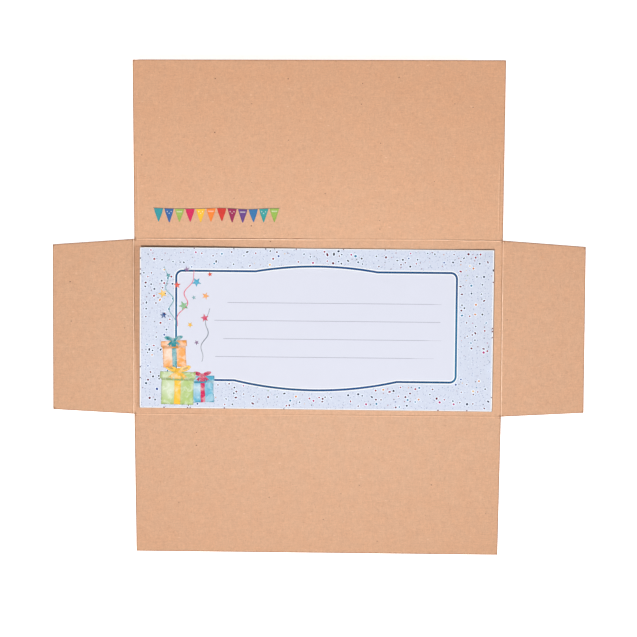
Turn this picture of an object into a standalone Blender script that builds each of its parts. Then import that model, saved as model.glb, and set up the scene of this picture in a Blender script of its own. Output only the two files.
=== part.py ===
"""Open gift card envelope: one scored blank of kraft board with four flaps, and a loose writing card.

Metres, +Z up. The origin is the centre of the back panel's underside, which is what the envelope lies on.
+X runs along the long side of the back panel, +Y towards the top flap.
The blank is split at its four score lines. Each score line is a narrow strip of crushed board.
"""

import math

import bmesh
import bpy
from mathutils import Matrix

# ---- driving dimensions (metres) ----
PANEL_W = 0.2200          # back panel, score line to score line, along X
PANEL_H = 0.1052          # back panel, score line to score line, along Y
BOARD = 0.0005            # thickness of the kraft board
TOP_FLAP_H = 0.1057       # score line to free edge
BOTTOM_FLAP_H = 0.0831
SIDE_FLAP_W = 0.0491
TOP_TAPER = 0.0000        # how much each side edge of a flap leans in at its free edge
BOTTOM_TAPER = 0.00125
SIDE_TAPER_UPPER = 0.0035   # the side flaps lean in more on the edge towards the top flap
SIDE_TAPER_LOWER = 0.0027
CORNER_R = 0.0004         # free corners of the die-cut blank

GAP = 0.0003              # clear gap between neighbouring pieces
SCORE_W = 0.0010          # width of a score line's strip
SCORE_LOW = 0.00010       # a scored strip is thinner than the board: grooved below, beaded above
SCORE_HIGH = 0.00045
SET_BACK = SCORE_W / 2 + GAP   # how far a panel's edge stays from the middle of its score line

CARD_W = 0.2111
CARD_H = 0.0963
CARD_T = 0.0003
CARD_X = -0.0008          # middle of the writing card on the back panel
CARD_Y = -0.0009
CARD_TURN = -0.19         # degrees: it was laid down by hand, not quite square

# heights of the fold axes above the table: the flaps close in this order over the card
SIDE_AXIS_Z = 0.00125
BOTTOM_AXIS_Z = 0.00165
TOP_AXIS_Z = 0.00205
TOP_FLAP_LIFT = 3.0       # degrees that the top flap stands up by itself, from the memory of its fold


def clear_scene():
    for ob in list(bpy.data.objects):
        bpy.data.objects.remove(ob)


def material(name, colour, roughness):
    mat = bpy.data.materials.new(name)
    mat.use_nodes = True
    shader = mat.node_tree.nodes["Principled BSDF"]
    shader.inputs["Base Color"].default_value = (*colour, 1.0)
    shader.inputs["Roughness"].default_value = roughness
    shader.inputs["Metallic"].default_value = 0.0
    mat.diffuse_color = (*colour, 1.0)
    return mat


def sheet(name, outline, low, high, mat, round_corners=(), radius=CORNER_R):
    """A flat sheet: the outline (x, y), counter-clockwise, drawn at height low and extruded up to high.
    round_corners are the indices of the outline's corners that get the die's small radius."""
    bm = bmesh.new()
    verts = [bm.verts.new((x, y, low)) for x, y in outline]
    bm.faces.new(verts)
    if round_corners:
        bmesh.ops.bevel(
            bm,
            geom=[verts[i] for i in round_corners],
            offset=radius,
            offset_type="OFFSET",
            segments=4,
            profile=0.5,
            affect="VERTICES",
        )
    grown = bmesh.ops.extrude_face_region(bm, geom=list(bm.faces))
    lifted = [g for g in grown["geom"] if isinstance(g, bmesh.types.BMVert)]
    bmesh.ops.translate(bm, verts=lifted, vec=(0.0, 0.0, high - low))
    bmesh.ops.recalc_face_normals(bm, faces=bm.faces)
    bmesh.ops.triangulate(bm, faces=bm.faces)
    mesh = bpy.data.meshes.new(name)
    bm.to_mesh(mesh)
    bm.free()
    mesh.materials.append(mat)
    ob = bpy.data.objects.new(name, mesh)
    bpy.context.scene.collection.objects.link(ob)
    return ob


def flap(name, length, reach, tapers, axis_z, place, turn, mat, lift=0.0):
    """A flap in its own frame: the fold axis runs along local X through the origin, and the flap reaches along local +Y.
    tapers are for its sides at local -X and +X. place is the middle of its score line (x, y), and turn is the flap's
    direction about Z, in degrees."""
    half = length / 2
    low_side, high_side = tapers
    share = SET_BACK / reach
    outline = [
        (-half + low_side * share, SET_BACK),
        (half - high_side * share, SET_BACK),
        (half - high_side, reach),
        (-half + low_side, reach),
    ]
    ob = sheet(name, outline, -axis_z, -axis_z + BOARD, mat, round_corners=(2, 3))
    ob.location = (place[0], place[1], axis_z)
    spin = Matrix.Rotation(math.radians(turn), 4, "Z")
    raise_up = Matrix.Rotation(math.radians(lift), 4, "X")
    ob.rotation_euler = (spin @ raise_up).to_euler()
    return ob


def score(name, length, place, turn, mat):
    """The crushed strip along one score line."""
    half, w = length / 2, SCORE_W / 2
    outline = [(-half, -w), (half, -w), (half, w), (-half, w)]
    ob = sheet(name, outline, SCORE_LOW, SCORE_HIGH, mat)
    ob.location = (place[0], place[1], 0.0)
    ob.rotation_euler = (0.0, 0.0, math.radians(turn))
    return ob


def build():
    clear_scene()
    kraft = (0.760, 0.450, 0.285)
    scored = (0.700, 0.400, 0.250)
    card_white = (0.860, 0.880, 0.930)

    hw, hh = PANEL_W / 2, PANEL_H / 2

    # back panel: the middle of the cross, what the envelope lies on
    px, py = hw - SET_BACK, hh - SET_BACK
    sheet(
        "back_panel",
        [(-px, -py), (px, -py), (px, py), (-px, py)],
        0.0,
        BOARD,
        material("back_panel_kraft", kraft, 0.85),
    )

    # the four flaps, each hinged on the middle of its score line
    flap(
        "top_flap", PANEL_W, TOP_FLAP_H, (TOP_TAPER, TOP_TAPER), TOP_AXIS_Z,
        (0.0, hh), 0.0, material("top_flap_kraft", kraft, 0.85), lift=TOP_FLAP_LIFT,
    )
    flap(
        "bottom_flap", PANEL_W, BOTTOM_FLAP_H, (BOTTOM_TAPER, BOTTOM_TAPER), BOTTOM_AXIS_Z,
        (0.0, -hh), 180.0, material("bottom_flap_kraft", kraft, 0.85),
    )
    flap(
        "left_flap", PANEL_H, SIDE_FLAP_W, (SIDE_TAPER_LOWER, SIDE_TAPER_UPPER), SIDE_AXIS_Z,
        (-hw, 0.0), 90.0, material("left_flap_kraft", kraft, 0.85),
    )
    flap(
        "right_flap", PANEL_H, SIDE_FLAP_W, (SIDE_TAPER_UPPER, SIDE_TAPER_LOWER), SIDE_AXIS_Z,
        (hw, 0.0), -90.0, material("right_flap_kraft", kraft, 0.85),
    )

    # the score lines. The side ones stop short of the long ones at the corners.
    long_run = PANEL_W - 2 * GAP
    short_run = PANEL_H - SCORE_W - 2 * GAP
    score("top_score_line", long_run, (0.0, hh), 0.0, material("top_score", scored, 0.8))
    score("bottom_score_line", long_run, (0.0, -hh), 180.0, material("bottom_score", scored, 0.8))
    score("left_score_line", short_run, (-hw, 0.0), 90.0, material("left_score", scored, 0.8))
    score("right_score_line", short_run, (hw, 0.0), -90.0, material("right_score", scored, 0.8))

    # the loose writing card, lying on the back panel
    cw, ch = CARD_W / 2, CARD_H / 2
    card = sheet(
        "writing_card",
        [(-cw, -ch), (cw, -ch), (cw, ch), (-cw, ch)],
        0.0,
        CARD_T,
        material("writing_card_stock", card_white, 0.55),
    )
    card.location = (CARD_X, CARD_Y, BOARD + GAP)
    card.rotation_euler = (0.0, 0.0, math.radians(CARD_TURN))


build()
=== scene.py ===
"""Looks of the open gift card envelope: kraft board blank with creased folds, and a printed writing card.

Lengths in the making of each piece are millimetres in the piece's own frame, turned into the shared frame in metres when it is placed.
"""

import math
import random

import bmesh
import bpy
import numpy as np
from mathutils import Matrix, Vector, noise
from mathutils.geometry import delaunay_2d_cdt


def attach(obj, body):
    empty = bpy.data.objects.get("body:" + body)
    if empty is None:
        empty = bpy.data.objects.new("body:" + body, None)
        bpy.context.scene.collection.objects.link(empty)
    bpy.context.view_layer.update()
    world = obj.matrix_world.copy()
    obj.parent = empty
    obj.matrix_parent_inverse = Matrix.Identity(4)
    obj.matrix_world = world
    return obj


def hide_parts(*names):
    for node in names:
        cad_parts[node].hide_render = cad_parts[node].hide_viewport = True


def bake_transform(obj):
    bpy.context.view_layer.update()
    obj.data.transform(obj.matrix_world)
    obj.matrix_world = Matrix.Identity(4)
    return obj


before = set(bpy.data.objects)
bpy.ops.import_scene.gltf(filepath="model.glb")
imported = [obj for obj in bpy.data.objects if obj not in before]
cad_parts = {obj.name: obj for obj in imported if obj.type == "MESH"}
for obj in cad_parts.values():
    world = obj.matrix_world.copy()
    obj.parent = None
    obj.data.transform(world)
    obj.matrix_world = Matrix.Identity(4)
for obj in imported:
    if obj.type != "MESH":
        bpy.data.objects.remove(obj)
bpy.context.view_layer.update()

# ---- sizes, as in the CAD (millimetres) ----
PANEL_W, PANEL_H = 220.0, 105.2
BOARD = 0.5
TOP_REACH, BOTTOM_REACH, SIDE_REACH = 105.7, 83.1, 49.1
BOTTOM_TAPER, SIDE_UPPER, SIDE_LOWER = 1.25, 3.5, 2.7
CORNER_R = 0.4
BORDER = 0.8              # a crease strip reaches this far either side of its fold line
SIDE_AXIS, BOTTOM_AXIS, TOP_AXIS = 1.25, 1.65, 2.05
TOP_LIFT = 3.0
CARD_W, CARD_H, CARD_T = 211.3, 96.44, 0.3
CARD_AT = (-0.98, -0.98)
CARD_TURN = -0.21
MM = 0.001


def lin(r, g, b):
    """Linear colour of an 8-bit display colour."""
    return tuple(c / 255 / 12.92 if c <= 10.3 else ((c / 255 + 0.055) / 1.055) ** 2.4 for c in (r, g, b))


def mixed(a, b, t):
    t = min(1.0, max(0.0, t))
    return tuple(p + (q - p) * t for p, q in zip(a, b))


def scaled(a, k):
    return tuple(p * k for p in a)


def smooth(t):
    t = min(1.0, max(0.0, t))
    return t * t * (3 - 2 * t)


# ------------------------------------------------------------------ shader nodes

class Nodes:
    """Short hand for building one material's nodes."""

    def __init__(self, name):
        self.mat = bpy.data.materials.new(name)
        self.mat.use_nodes = True
        self.tree = self.mat.node_tree
        self.shader = self.tree.nodes["Principled BSDF"]
        self.shader.inputs["Metallic"].default_value = 0.0

    def add(self, kind, **settings):
        node = self.tree.nodes.new(kind)
        for key, value in settings.items():
            setattr(node, key, value)
        return node

    def put(self, value, socket):
        if isinstance(value, bpy.types.NodeSocket):
            self.tree.links.new(value, socket)
        elif isinstance(value, (tuple, list)) and len(value) == 3 and socket.type == "RGBA":
            socket.default_value = (*value, 1.0)
        else:
            socket.default_value = value

    def attribute(self, name, output="Fac"):
        return self.add("ShaderNodeAttribute", attribute_name=name).outputs[output]

    def math(self, op, a, b=0.0, c=None, clamp=False):
        node = self.add("ShaderNodeMath", operation=op, use_clamp=clamp)
        self.put(a, node.inputs[0])
        self.put(b, node.inputs[1])
        if c is not None:
            self.put(c, node.inputs[2])
        return node.outputs[0]

    def stretch(self, vector, scale, turn=0.0, shift=(0.0, 0.0, 0.0)):
        node = self.add("ShaderNodeMapping", vector_type="POINT")
        self.put(vector, node.inputs["Vector"])
        node.inputs["Scale"].default_value = scale
        node.inputs["Rotation"].default_value = (0.0, 0.0, turn)
        node.inputs["Location"].default_value = shift
        return node.outputs[0]

    def noise(self, vector, scale, detail=2.0, rough=0.5, warp=0.0):
        node = self.add("ShaderNodeTexNoise", noise_dimensions="3D")
        self.put(vector, node.inputs["Vector"])
        node.inputs["Scale"].default_value = scale
        node.inputs["Detail"].default_value = detail
        node.inputs["Roughness"].default_value = rough
        node.inputs["Distortion"].default_value = warp
        return node.outputs["Fac"]

    def cells(self, vector, scale):
        """Distance along the sheet from the nearest scattered point, and three random numbers of that point's own."""
        node = self.add("ShaderNodeTexVoronoi", feature="F1", voronoi_dimensions="2D")
        self.put(vector, node.inputs["Vector"])
        node.inputs["Scale"].default_value = scale
        pick = self.add("ShaderNodeSeparateColor")
        self.put(node.outputs["Color"], pick.inputs[0])
        return node.outputs["Distance"], pick.outputs[0], pick.outputs[1], pick.outputs[2]

    def span(self, value, low, high, to_low=0.0, to_high=1.0, soft=True):
        node = self.add("ShaderNodeMapRange", interpolation_type="SMOOTHSTEP" if soft else "LINEAR", clamp=True)
        self.put(value, node.inputs["Value"])
        for key, v in (("From Min", low), ("From Max", high), ("To Min", to_low), ("To Max", to_high)):
            self.put(v, node.inputs[key])
        return node.outputs[0]

    def mix(self, factor, a, b, blend="MIX"):
        node = self.add("ShaderNodeMix", data_type="RGBA", blend_type=blend, clamp_factor=True)
        self.put(factor, node.inputs[0])
        self.put(a, node.inputs[6])
        self.put(b, node.inputs[7])
        return node.outputs[2]

    def shade(self, colour, amount):
        """colour times the number amount."""
        node = self.add("ShaderNodeVectorMath", operation="SCALE")
        self.put(colour, node.inputs[0])
        self.put(amount, node.inputs["Scale"])
        return node.outputs[0]

    def bump(self, height, distance, strength=1.0, under=None):
        node = self.add("ShaderNodeBump")
        node.inputs["Strength"].default_value = strength
        node.inputs["Distance"].default_value = distance
        self.put(height, node.inputs["Height"])
        if under is not None:
            self.put(under, node.inputs["Normal"])
        return node.outputs[0]


KRAFT = (0.637, 0.373, 0.2347)


def kraft(name, scored=False, printed=False, painted_shade_sides=((1.0, 1.0, 1.0), (1.0, 1.0, 1.0))):
    """Uncoated kraft board: long fibres both ways, blotches of shade and hue, dark and pale flecks, and a browner cut
    edge, with painted shade along the rim and a painted light falloff across the blank.
    A printed one takes its ink, and how much of it there is, from the ink attribute. painted_shade_sides are painted
    shades of the light at its left and right."""
    n = Nodes(name)
    rest = n.attribute("rest", "Vector")

    cloud = n.noise(rest, 38.0, 3.0, 0.55)
    blotch = n.noise(n.stretch(rest, (1.0, 1.0, 1.0), shift=(0.31, 0.17, 0.0)), 190.0, 3.0, 0.6)
    warm = n.noise(n.stretch(rest, (1.0, 1.0, 1.0), shift=(1.7, 0.9, 0.0)), 120.0, 2.0, 0.5)
    grain = n.noise(rest, 1500.0, 2.0, 0.6)
    flock = n.noise(n.stretch(rest, (1.0, 1.0, 1.0), shift=(0.13, 0.71, 0.0)), 720.0, 2.0, 0.65, 0.3)
    long_x = n.noise(n.stretch(rest, (260.0, 2300.0, 900.0)), 1.0, 3.0, 0.55, 0.6)
    long_y = n.noise(n.stretch(rest, (2100.0, 300.0, 900.0), turn=0.12), 1.0, 3.0, 0.55, 0.6)
    fibre = n.math("ADD", n.math("MULTIPLY", long_x, 0.55), n.math("MULTIPLY", long_y, 0.45))
    hair = n.noise(n.stretch(rest, (900.0, 3600.0, 900.0), turn=0.6), 1.0, 2.0, 0.5, 1.2)

    tone = n.math("MULTIPLY_ADD", n.math("SUBTRACT", cloud, 0.5), 0.040, 1.0)
    tone = n.math("MULTIPLY_ADD", n.math("SUBTRACT", blotch, 0.5), 0.066, tone)
    tone = n.math("MULTIPLY_ADD", n.math("SUBTRACT", fibre, 0.5), 0.46, tone)
    tone = n.math("MULTIPLY_ADD", n.math("SUBTRACT", grain, 0.5), 0.34, tone)
    tone = n.math("MULTIPLY_ADD", n.math("SUBTRACT", flock, 0.5), 0.24, tone)
    tone = n.math("MULTIPLY_ADD", n.span(hair, 0.64, 0.74), 0.045, tone)

    base = n.mix(n.span(warm, 0.35, 0.65), scaled(KRAFT, 1.0), (KRAFT[0] * 1.010, KRAFT[1] * 0.986, KRAFT[2] * 0.968))
    # painted light falloff: the blank is painted brighter and greyer round its middle, and darker and warmer towards
    # its far edges
    away = n.add("ShaderNodeVectorMath", operation="LENGTH")
    n.put(n.stretch(rest, (0.65, 1.0, 0.0), shift=(0.003, 0.010, 0.0)), away.inputs[0])
    drift = n.math("MULTIPLY_ADD", n.math("SUBTRACT", cloud, 0.5), 0.02, away.outputs["Value"])
    base = n.mix(1.0, base, n.mix(n.span(drift, 0.01, 0.16, soft=False), (1.060, 1.100, 1.128), (0.938, 0.884, 0.835)), blend="MULTIPLY")
    # painted shade: this piece is painted lighter or darker from its left side to its right, as the light falls on it
    if painted_shade_sides[0] != (1.0, 1.0, 1.0) or painted_shade_sides[1] != (1.0, 1.0, 1.0):
        split = n.add("ShaderNodeSeparateXYZ")
        n.put(rest, split.inputs[0])
        base = n.mix(1.0, base, n.mix(n.span(split.outputs[0], -0.105, 0.105, soft=False), painted_shade_sides[0], painted_shade_sides[1]), blend="MULTIPLY")
    colour = n.shade(base, tone)

    def flecks(scale, chance, small, large, amount, tint, squeeze=(1.0, 1.0, 1.0), turn=0.0, shift=(0.0, 0.0, 0.0), soft=0.45):
        """Scattered flecks, from small to large in mm, at that share of the points of a scatter of that many per metre."""
        near, pick, size, much = n.cells(n.stretch(rest, squeeze, turn=turn, shift=shift), scale)
        reach = n.math("MULTIPLY_ADD", size, (large - small) * MM * scale, small * MM * scale)
        spot = n.math("SUBTRACT", 1.0, n.span(n.math("DIVIDE", near, reach), soft, 1.0))
        spot = n.math("MULTIPLY", spot, n.math("GREATER_THAN", pick, 1.0 - chance))
        spot = n.math("MULTIPLY", spot, n.math("MULTIPLY_ADD", much, 0.5 * amount, 0.6 * amount))
        return n.mix(spot, colour, tint)

    colour = flecks(58.0, 0.10, 1.2, 2.6, 0.10, lin(236, 158, 96), shift=(0.21, 0.83, 0.0), soft=0.0)
    colour = flecks(260.0, 0.16, 0.16, 0.34, 0.26, lin(150, 98, 62), squeeze=(1.0, 0.30, 1.0), turn=0.5, shift=(0.4, 0.2, 0.0))
    colour = flecks(250.0, 0.16, 0.16, 0.34, 0.26, lin(146, 96, 60), squeeze=(0.30, 1.0, 1.0), turn=0.15, shift=(1.4, 0.6, 0.0))
    colour = flecks(230.0, 0.14, 0.18, 0.36, 0.30, lin(250, 216, 186), squeeze=(0.34, 1.0, 1.0), turn=-0.35, shift=(0.9, 0.1, 0.0))
    colour = flecks(175.0, 0.12, 0.18, 0.34, 0.42, lin(122, 74, 46), shift=(0.7, 1.3, 0.0))
    colour = flecks(92.0, 0.075, 0.30, 0.52, 0.95, lin(74, 46, 32), shift=(0.05, 0.35, 0.0))

    if printed:
        # printed ink soaks in, so the fibres still show through it
        ink = n.add("ShaderNodeAttribute", attribute_name="ink")
        soaked = n.shade(ink.outputs["Color"], n.math("MULTIPLY_ADD", n.math("SUBTRACT", tone, 1.0), 1.4, 1.0))
        colour = n.mix(n.math("MULTIPLY", ink.outputs["Alpha"], n.span(n.math("ADD", fibre, n.math("MULTIPLY", grain, 0.3)), 0.42, 0.56, 0.82, 1.0)), colour, soaked)

    # the browner cut edge; the darkening of the rim is partly wear and partly painted shade along the edge
    rim = n.attribute("rim")
    wall = n.attribute("wall")
    colour = n.mix(n.math("MULTIPLY", n.span(rim, 0.30, 0.86), n.span(blotch, 0.3, 0.7, 0.56, 0.86)), colour, lin(126, 78, 48))
    layers = n.noise(n.stretch(rest, (500.0, 500.0, 16000.0)), 1.0, 2.0, 0.5)
    colour = n.mix(n.math("MULTIPLY", wall, n.span(layers, 0.35, 0.65, 0.40, 0.70)), colour, lin(160, 108, 74))
    if scored:
        crush_and_shade = n.attribute("crush_and_shade")
        crest_wear_and_highlight = n.attribute("crest_wear_and_highlight")
        worn = n.noise(rest, 420.0, 2.0, 0.6)
        # at the folds: the dark lines beside each bead are partly crushed fibre and partly painted shade; the pale
        # crest is partly wear and partly a painted highlight
        colour = n.mix(n.math("MULTIPLY", crush_and_shade, n.span(worn, 0.3, 0.7, 0.42, 0.70), clamp=True), colour, lin(126, 68, 36))
        colour = n.mix(n.math("MULTIPLY", crest_wear_and_highlight, n.span(worn, 0.3, 0.7, 0.22, 0.50), clamp=True), colour, lin(255, 226, 200))
    n.put(colour, n.shader.inputs["Base Color"])

    n.put(n.span(grain, 0.3, 0.7, 0.74, 0.90), n.shader.inputs["Roughness"])
    n.shader.inputs["Specular IOR Level"].default_value = 0.28

    relief = n.math("MULTIPLY_ADD", fibre, 0.8, n.math("MULTIPLY", grain, 0.5))
    n.put(n.bump(relief, 0.00006, 0.55), n.shader.inputs["Normal"])
    return n.mat


def printed_card(name):
    """Smooth white card stock: the print is in the ink attribute, with watercolour blooms where it is painted, and fine flecks in the border."""
    n = Nodes(name)
    rest = n.attribute("rest", "Vector")
    ink = n.attribute("ink", "Color")
    wash = n.attribute("wash")
    fleck = n.attribute("fleck")
    wall = n.attribute("wall")

    bloom = n.noise(rest, 260.0, 4.0, 0.62, 0.8)
    pool = n.noise(n.stretch(rest, (1.0, 1.0, 1.0), shift=(0.5, 0.3, 0.0)), 620.0, 3.0, 0.6, 0.4)
    grit = n.noise(rest, 2600.0, 2.0, 0.6)
    painted = n.mix(n.span(bloom, 0.42, 0.64), ink, n.mix(0.34, ink, (1.0, 1.0, 1.0)))
    painted = n.mix(n.math("MULTIPLY", n.span(pool, 0.52, 0.70), 0.30), painted, n.shade(ink, 0.62))
    painted = n.mix(n.math("MULTIPLY", n.span(grit, 0.5, 0.72), 0.10), painted, n.shade(ink, 0.7))
    colour = n.mix(wash, ink, painted)

    # many tiny grey-blue and warm flecks between the confetti
    for scale, chance, small, large, tint, amount, shift in (
        (540.0, 0.36, 0.22, 0.34, (0.76, 0.83, 0.93), 0.90, (0.2, 0.6, 0.0)),
        (440.0, 0.56, 0.22, 0.31, lin(106, 126, 166), 0.95, (0.55, 0.15, 0.0)),
        (700.0, 0.22, 0.17, 0.27, lin(132, 152, 192), 0.70, (0.0, 0.0, 0.0)),
        (420.0, 0.16, 0.18, 0.30, lin(88, 102, 152), 0.64, (0.9, 0.5, 0.0)),
        (250.0, 0.20, 0.18, 0.30, lin(104, 10, 86), 0.76, (0.3, 0.1, 0.0)),
        (150.0, 0.16, 0.16, 0.28, lin(196, 40, 66), 0.66, (0.7, 0.4, 0.0)),
        (200.0, 0.20, 0.18, 0.32, lin(10, 108, 150), 0.74, (1.1, 0.2, 0.0)),
    ):
        near, pick, size, much = n.cells(n.stretch(rest, (1.0, 1.0, 1.0), shift=shift), scale)
        reach = n.math("MULTIPLY_ADD", size, (large - small) * MM * scale, small * MM * scale)
        spot = n.math("SUBTRACT", 1.0, n.span(n.math("DIVIDE", near, reach), 0.55, 1.0))
        spot = n.math("MULTIPLY", n.math("MULTIPLY", spot, n.math("GREATER_THAN", pick, 1.0 - chance)), n.math("MULTIPLY_ADD", much, 0.6 * amount, 0.6 * amount))
        colour = n.mix(n.math("MULTIPLY", spot, fleck), colour, tint)

    tooth = n.noise(rest, 1900.0, 3.0, 0.6)
    drift = n.noise(rest, 55.0, 2.0, 0.5)
    colour = n.shade(colour, n.math("MULTIPLY_ADD", n.math("SUBTRACT", tooth, 0.5), 0.022, n.math("MULTIPLY_ADD", n.math("SUBTRACT", drift, 0.5), 0.012, 1.0)))
    # painted shade: a thin grey line round the arris, partly dust; a darker painted shadow along the left, bottom and
    # right edges where the card meets the board, darkest along the bottom; and the cut edge shows the white core
    colour = n.mix(n.math("MULTIPLY", n.span(n.attribute("rim"), 0.80, 0.95), 0.55), colour, lin(158, 138, 130))
    split = n.add("ShaderNodeSeparateXYZ")
    n.put(rest, split.inputs[0])
    painted_edge_shadow = n.math("MAXIMUM", n.span(split.outputs[0], -0.1030, -0.1050), n.span(split.outputs[1], -0.0470, -0.0482))
    painted_edge_shadow = n.math("MAXIMUM", painted_edge_shadow, n.span(split.outputs[0], 0.1028, 0.1043, 0.0, 0.75))
    colour = n.mix(n.math("MULTIPLY", n.math("MULTIPLY", n.span(n.attribute("rim"), 0.72, 0.90), painted_edge_shadow), 0.84), colour, lin(112, 103, 110))
    # painted shadow, near black, along the card's bottom edge
    colour = n.mix(n.math("MULTIPLY", n.math("MULTIPLY", n.span(n.attribute("rim"), 0.70, 0.88), n.span(split.outputs[1], -0.0470, -0.0482)), 0.84), colour, lin(40, 30, 32))
    colour = n.mix(n.math("MULTIPLY", wall, 0.6), colour, lin(232, 230, 230))
    n.put(colour, n.shader.inputs["Base Color"])
    n.put(n.span(tooth, 0.3, 0.7, 0.46, 0.60), n.shader.inputs["Roughness"])
    n.shader.inputs["Specular IOR Level"].default_value = 0.32
    n.put(n.bump(tooth, 0.00002, 0.35), n.shader.inputs["Normal"])
    return n.mat


# ------------------------------------------------------------------ outlines (millimetres)

def rounded(corners, radii, free, steps=4):
    """The polygon with its corners rounded, and for each of its edges whether it is a free, cut edge."""
    pts, flags = [], []
    n = len(corners)
    for i in range(n):
        p, a, b, r = Vector(corners[i]), Vector(corners[i - 1]), Vector(corners[(i + 1) % n]), radii[i]
        if r <= 0:
            pts.append(p)
            flags.append(free[i])
            continue
        u, v = (a - p).normalized(), (b - p).normalized()
        half = 0.5 * math.acos(max(-1.0, min(1.0, u.dot(v))))
        centre = p + (u + v).normalized() * (r / math.sin(half))
        s, e = p + u * (r / math.tan(half)) - centre, p + v * (r / math.tan(half)) - centre
        a0, a1 = math.atan2(s.y, s.x), math.atan2(e.y, e.x)
        while a1 < a0:
            a1 += 2 * math.pi
        for k in range(steps + 1):
            t = a0 + (a1 - a0) * k / steps
            pts.append(centre + Vector((math.cos(t), math.sin(t))) * r)
            flags.append(True if k < steps else free[i])
    return pts, flags


def inset(pts, flags, depth):
    """The convex polygon with its free edges moved in by depth and the others left."""
    n = len(pts)
    out = []
    lines = []
    for i in range(n):
        d = (pts[(i + 1) % n] - pts[i]).normalized()
        normal = Vector((-d.y, d.x))
        lines.append((normal, normal.dot(pts[i]) + (depth if flags[i] else 0.0)))
    for i in range(n):
        (n1, c1), (n2, c2) = lines[i - 1], lines[i]
        det = n1.x * n2.y - n1.y * n2.x
        if abs(det) < 1e-6:
            out.append(pts[i] + n2 * (depth if flags[i] else 0.0))
        else:
            out.append(Vector(((c1 * n2.y - n1.y * c2) / det, (n1.x * c2 - c1 * n2.x) / det)))
    return out


def area_of(poly):
    return 0.5 * sum(poly[i - 1][0] * poly[i][1] - poly[i][0] * poly[i - 1][1] for i in range(len(poly)))


def gap_to(points, starts, ends):
    """Distance of each point from the nearest of the segments."""
    if not len(starts) or not len(points):
        return np.full(len(points), 1e9)
    best = np.full(len(points), 1e9)
    d = ends - starts
    l2 = np.maximum((d * d).sum(1), 1e-12)
    for i in range(0, len(points), 500):
        p = points[i : i + 500]
        t = np.clip(((p[:, None, :] - starts[None]) * d[None]).sum(2) / l2[None], 0, 1)
        q = starts[None] + t[:, :, None] * d[None]
        best[i : i + 500] = np.sqrt(((p[:, None, :] - q) ** 2).sum(2)).min(1)
    return best


def inside(points, poly):
    x, y = points[:, 0], points[:, 1]
    hit = np.zeros(len(points), bool)
    for i in range(len(poly)):
        x0, y0 = poly[i - 1]
        x1, y1 = poly[i]
        if y0 == y1:
            continue
        cross = (y0 > y) != (y1 > y)
        hit ^= cross & (x < (x1 - x0) * (y - y0) / (y1 - y0) + x0)
    return hit


class Area:
    """A printed area: its outline, how it is painted (a colour, or a function of x, y and the depth inside the outline),
    how much ink covers the board, how strongly it blooms, and how fine its own points are."""

    def __init__(self, outline, paint, cover=1.0, wash=0.0, fleck=0.0, fine=None, rim=None):
        pts = [(float(x), float(y)) for x, y in outline]
        self.outline = pts if area_of(pts) > 0 else pts[::-1]
        self.paint, self.cover, self.wash, self.fleck, self.fine, self.rim = paint, cover, wash, fleck, fine, rim
        arr = np.array(self.outline)
        self.starts, self.ends = arr, np.roll(arr, -1, axis=0)

    def points(self):
        """Points of its own inside the outline, that carry the paint's changes."""
        if not self.fine:
            return []
        lo, hi = self.starts.min(0), self.starts.max(0)
        xs = np.arange(lo[0] + self.fine * 0.5, hi[0], self.fine)
        ys = np.arange(lo[1] + self.fine * 0.5, hi[1], self.fine)
        if not len(xs) or not len(ys):
            return []
        grid = np.array([(x + (self.fine * 0.5 if j % 2 else 0.0), y) for j, y in enumerate(ys) for x in xs])
        grid = grid[inside(grid, self.outline)]
        rim = self.rim or self.fine * 0.5
        grid = grid[gap_to(grid, self.starts, self.ends) > rim * 1.3] if len(grid) else grid
        near = []
        n = len(self.outline)
        for i in range(n):
            p, q = self.starts[i], self.ends[i]
            d = q - p
            length = float(np.hypot(*d))
            if length < 1e-6:
                continue
            normal = np.array((-d[1], d[0])) / length
            for k in range(max(1, int(length / self.fine))):
                near.append(p + d * (k + 0.5) / max(1, int(length / self.fine)) + normal * rim)
        near = np.array(near)
        keep = inside(near, self.outline)
        near = near[keep]
        if len(near):
            near = near[gap_to(near, self.starts, self.ends) > rim * 0.9]
        return [tuple(p) for p in near] + [tuple(p) for p in grid]


# ------------------------------------------------------------------ pieces

def finish_mesh(name, coords, faces, attributes, corner, material, sharp=35.0):
    """The mesh object with its attributes, smooth shaded up to the sharp angle."""
    mesh = bpy.data.meshes.new(name)
    mesh.from_pydata([tuple(c) for c in coords], [], faces)
    mesh.validate()
    mesh.update()
    rest = mesh.attributes.new("rest", "FLOAT_VECTOR", "POINT")
    rest.data.foreach_set("vector", np.asarray(coords, np.float32).ravel())
    for key, values in attributes.items():
        at = mesh.attributes.new(key, "FLOAT", "POINT")
        at.data.foreach_set("value", np.asarray(values, np.float32))
    if corner:
        ink = mesh.attributes.new("ink", "FLOAT_COLOR", "CORNER")
        ink.data.foreach_set("color", np.asarray(corner["ink"], np.float32).ravel())
        for key in ("wash", "fleck"):
            if key in corner:
                at = mesh.attributes.new(key, "FLOAT", "CORNER")
                at.data.foreach_set("value", np.asarray(corner[key], np.float32))
    mesh.polygons.foreach_set("use_smooth", [True] * len(mesh.polygons))
    mesh.set_sharp_from_angle(angle=math.radians(sharp))
    mesh.materials.append(material)
    ob = bpy.data.objects.new(name, mesh)
    bpy.context.scene.collection.objects.link(ob)
    return ob


def open_edges(faces):
    seen = {}
    for f in faces:
        for i in range(len(f)):
            key = (min(f[i - 1], f[i]), max(f[i - 1], f[i]))
            seen[key] = seen.get(key, 0) + 1
    return sum(1 for v in seen.values() if v != 2)


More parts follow.
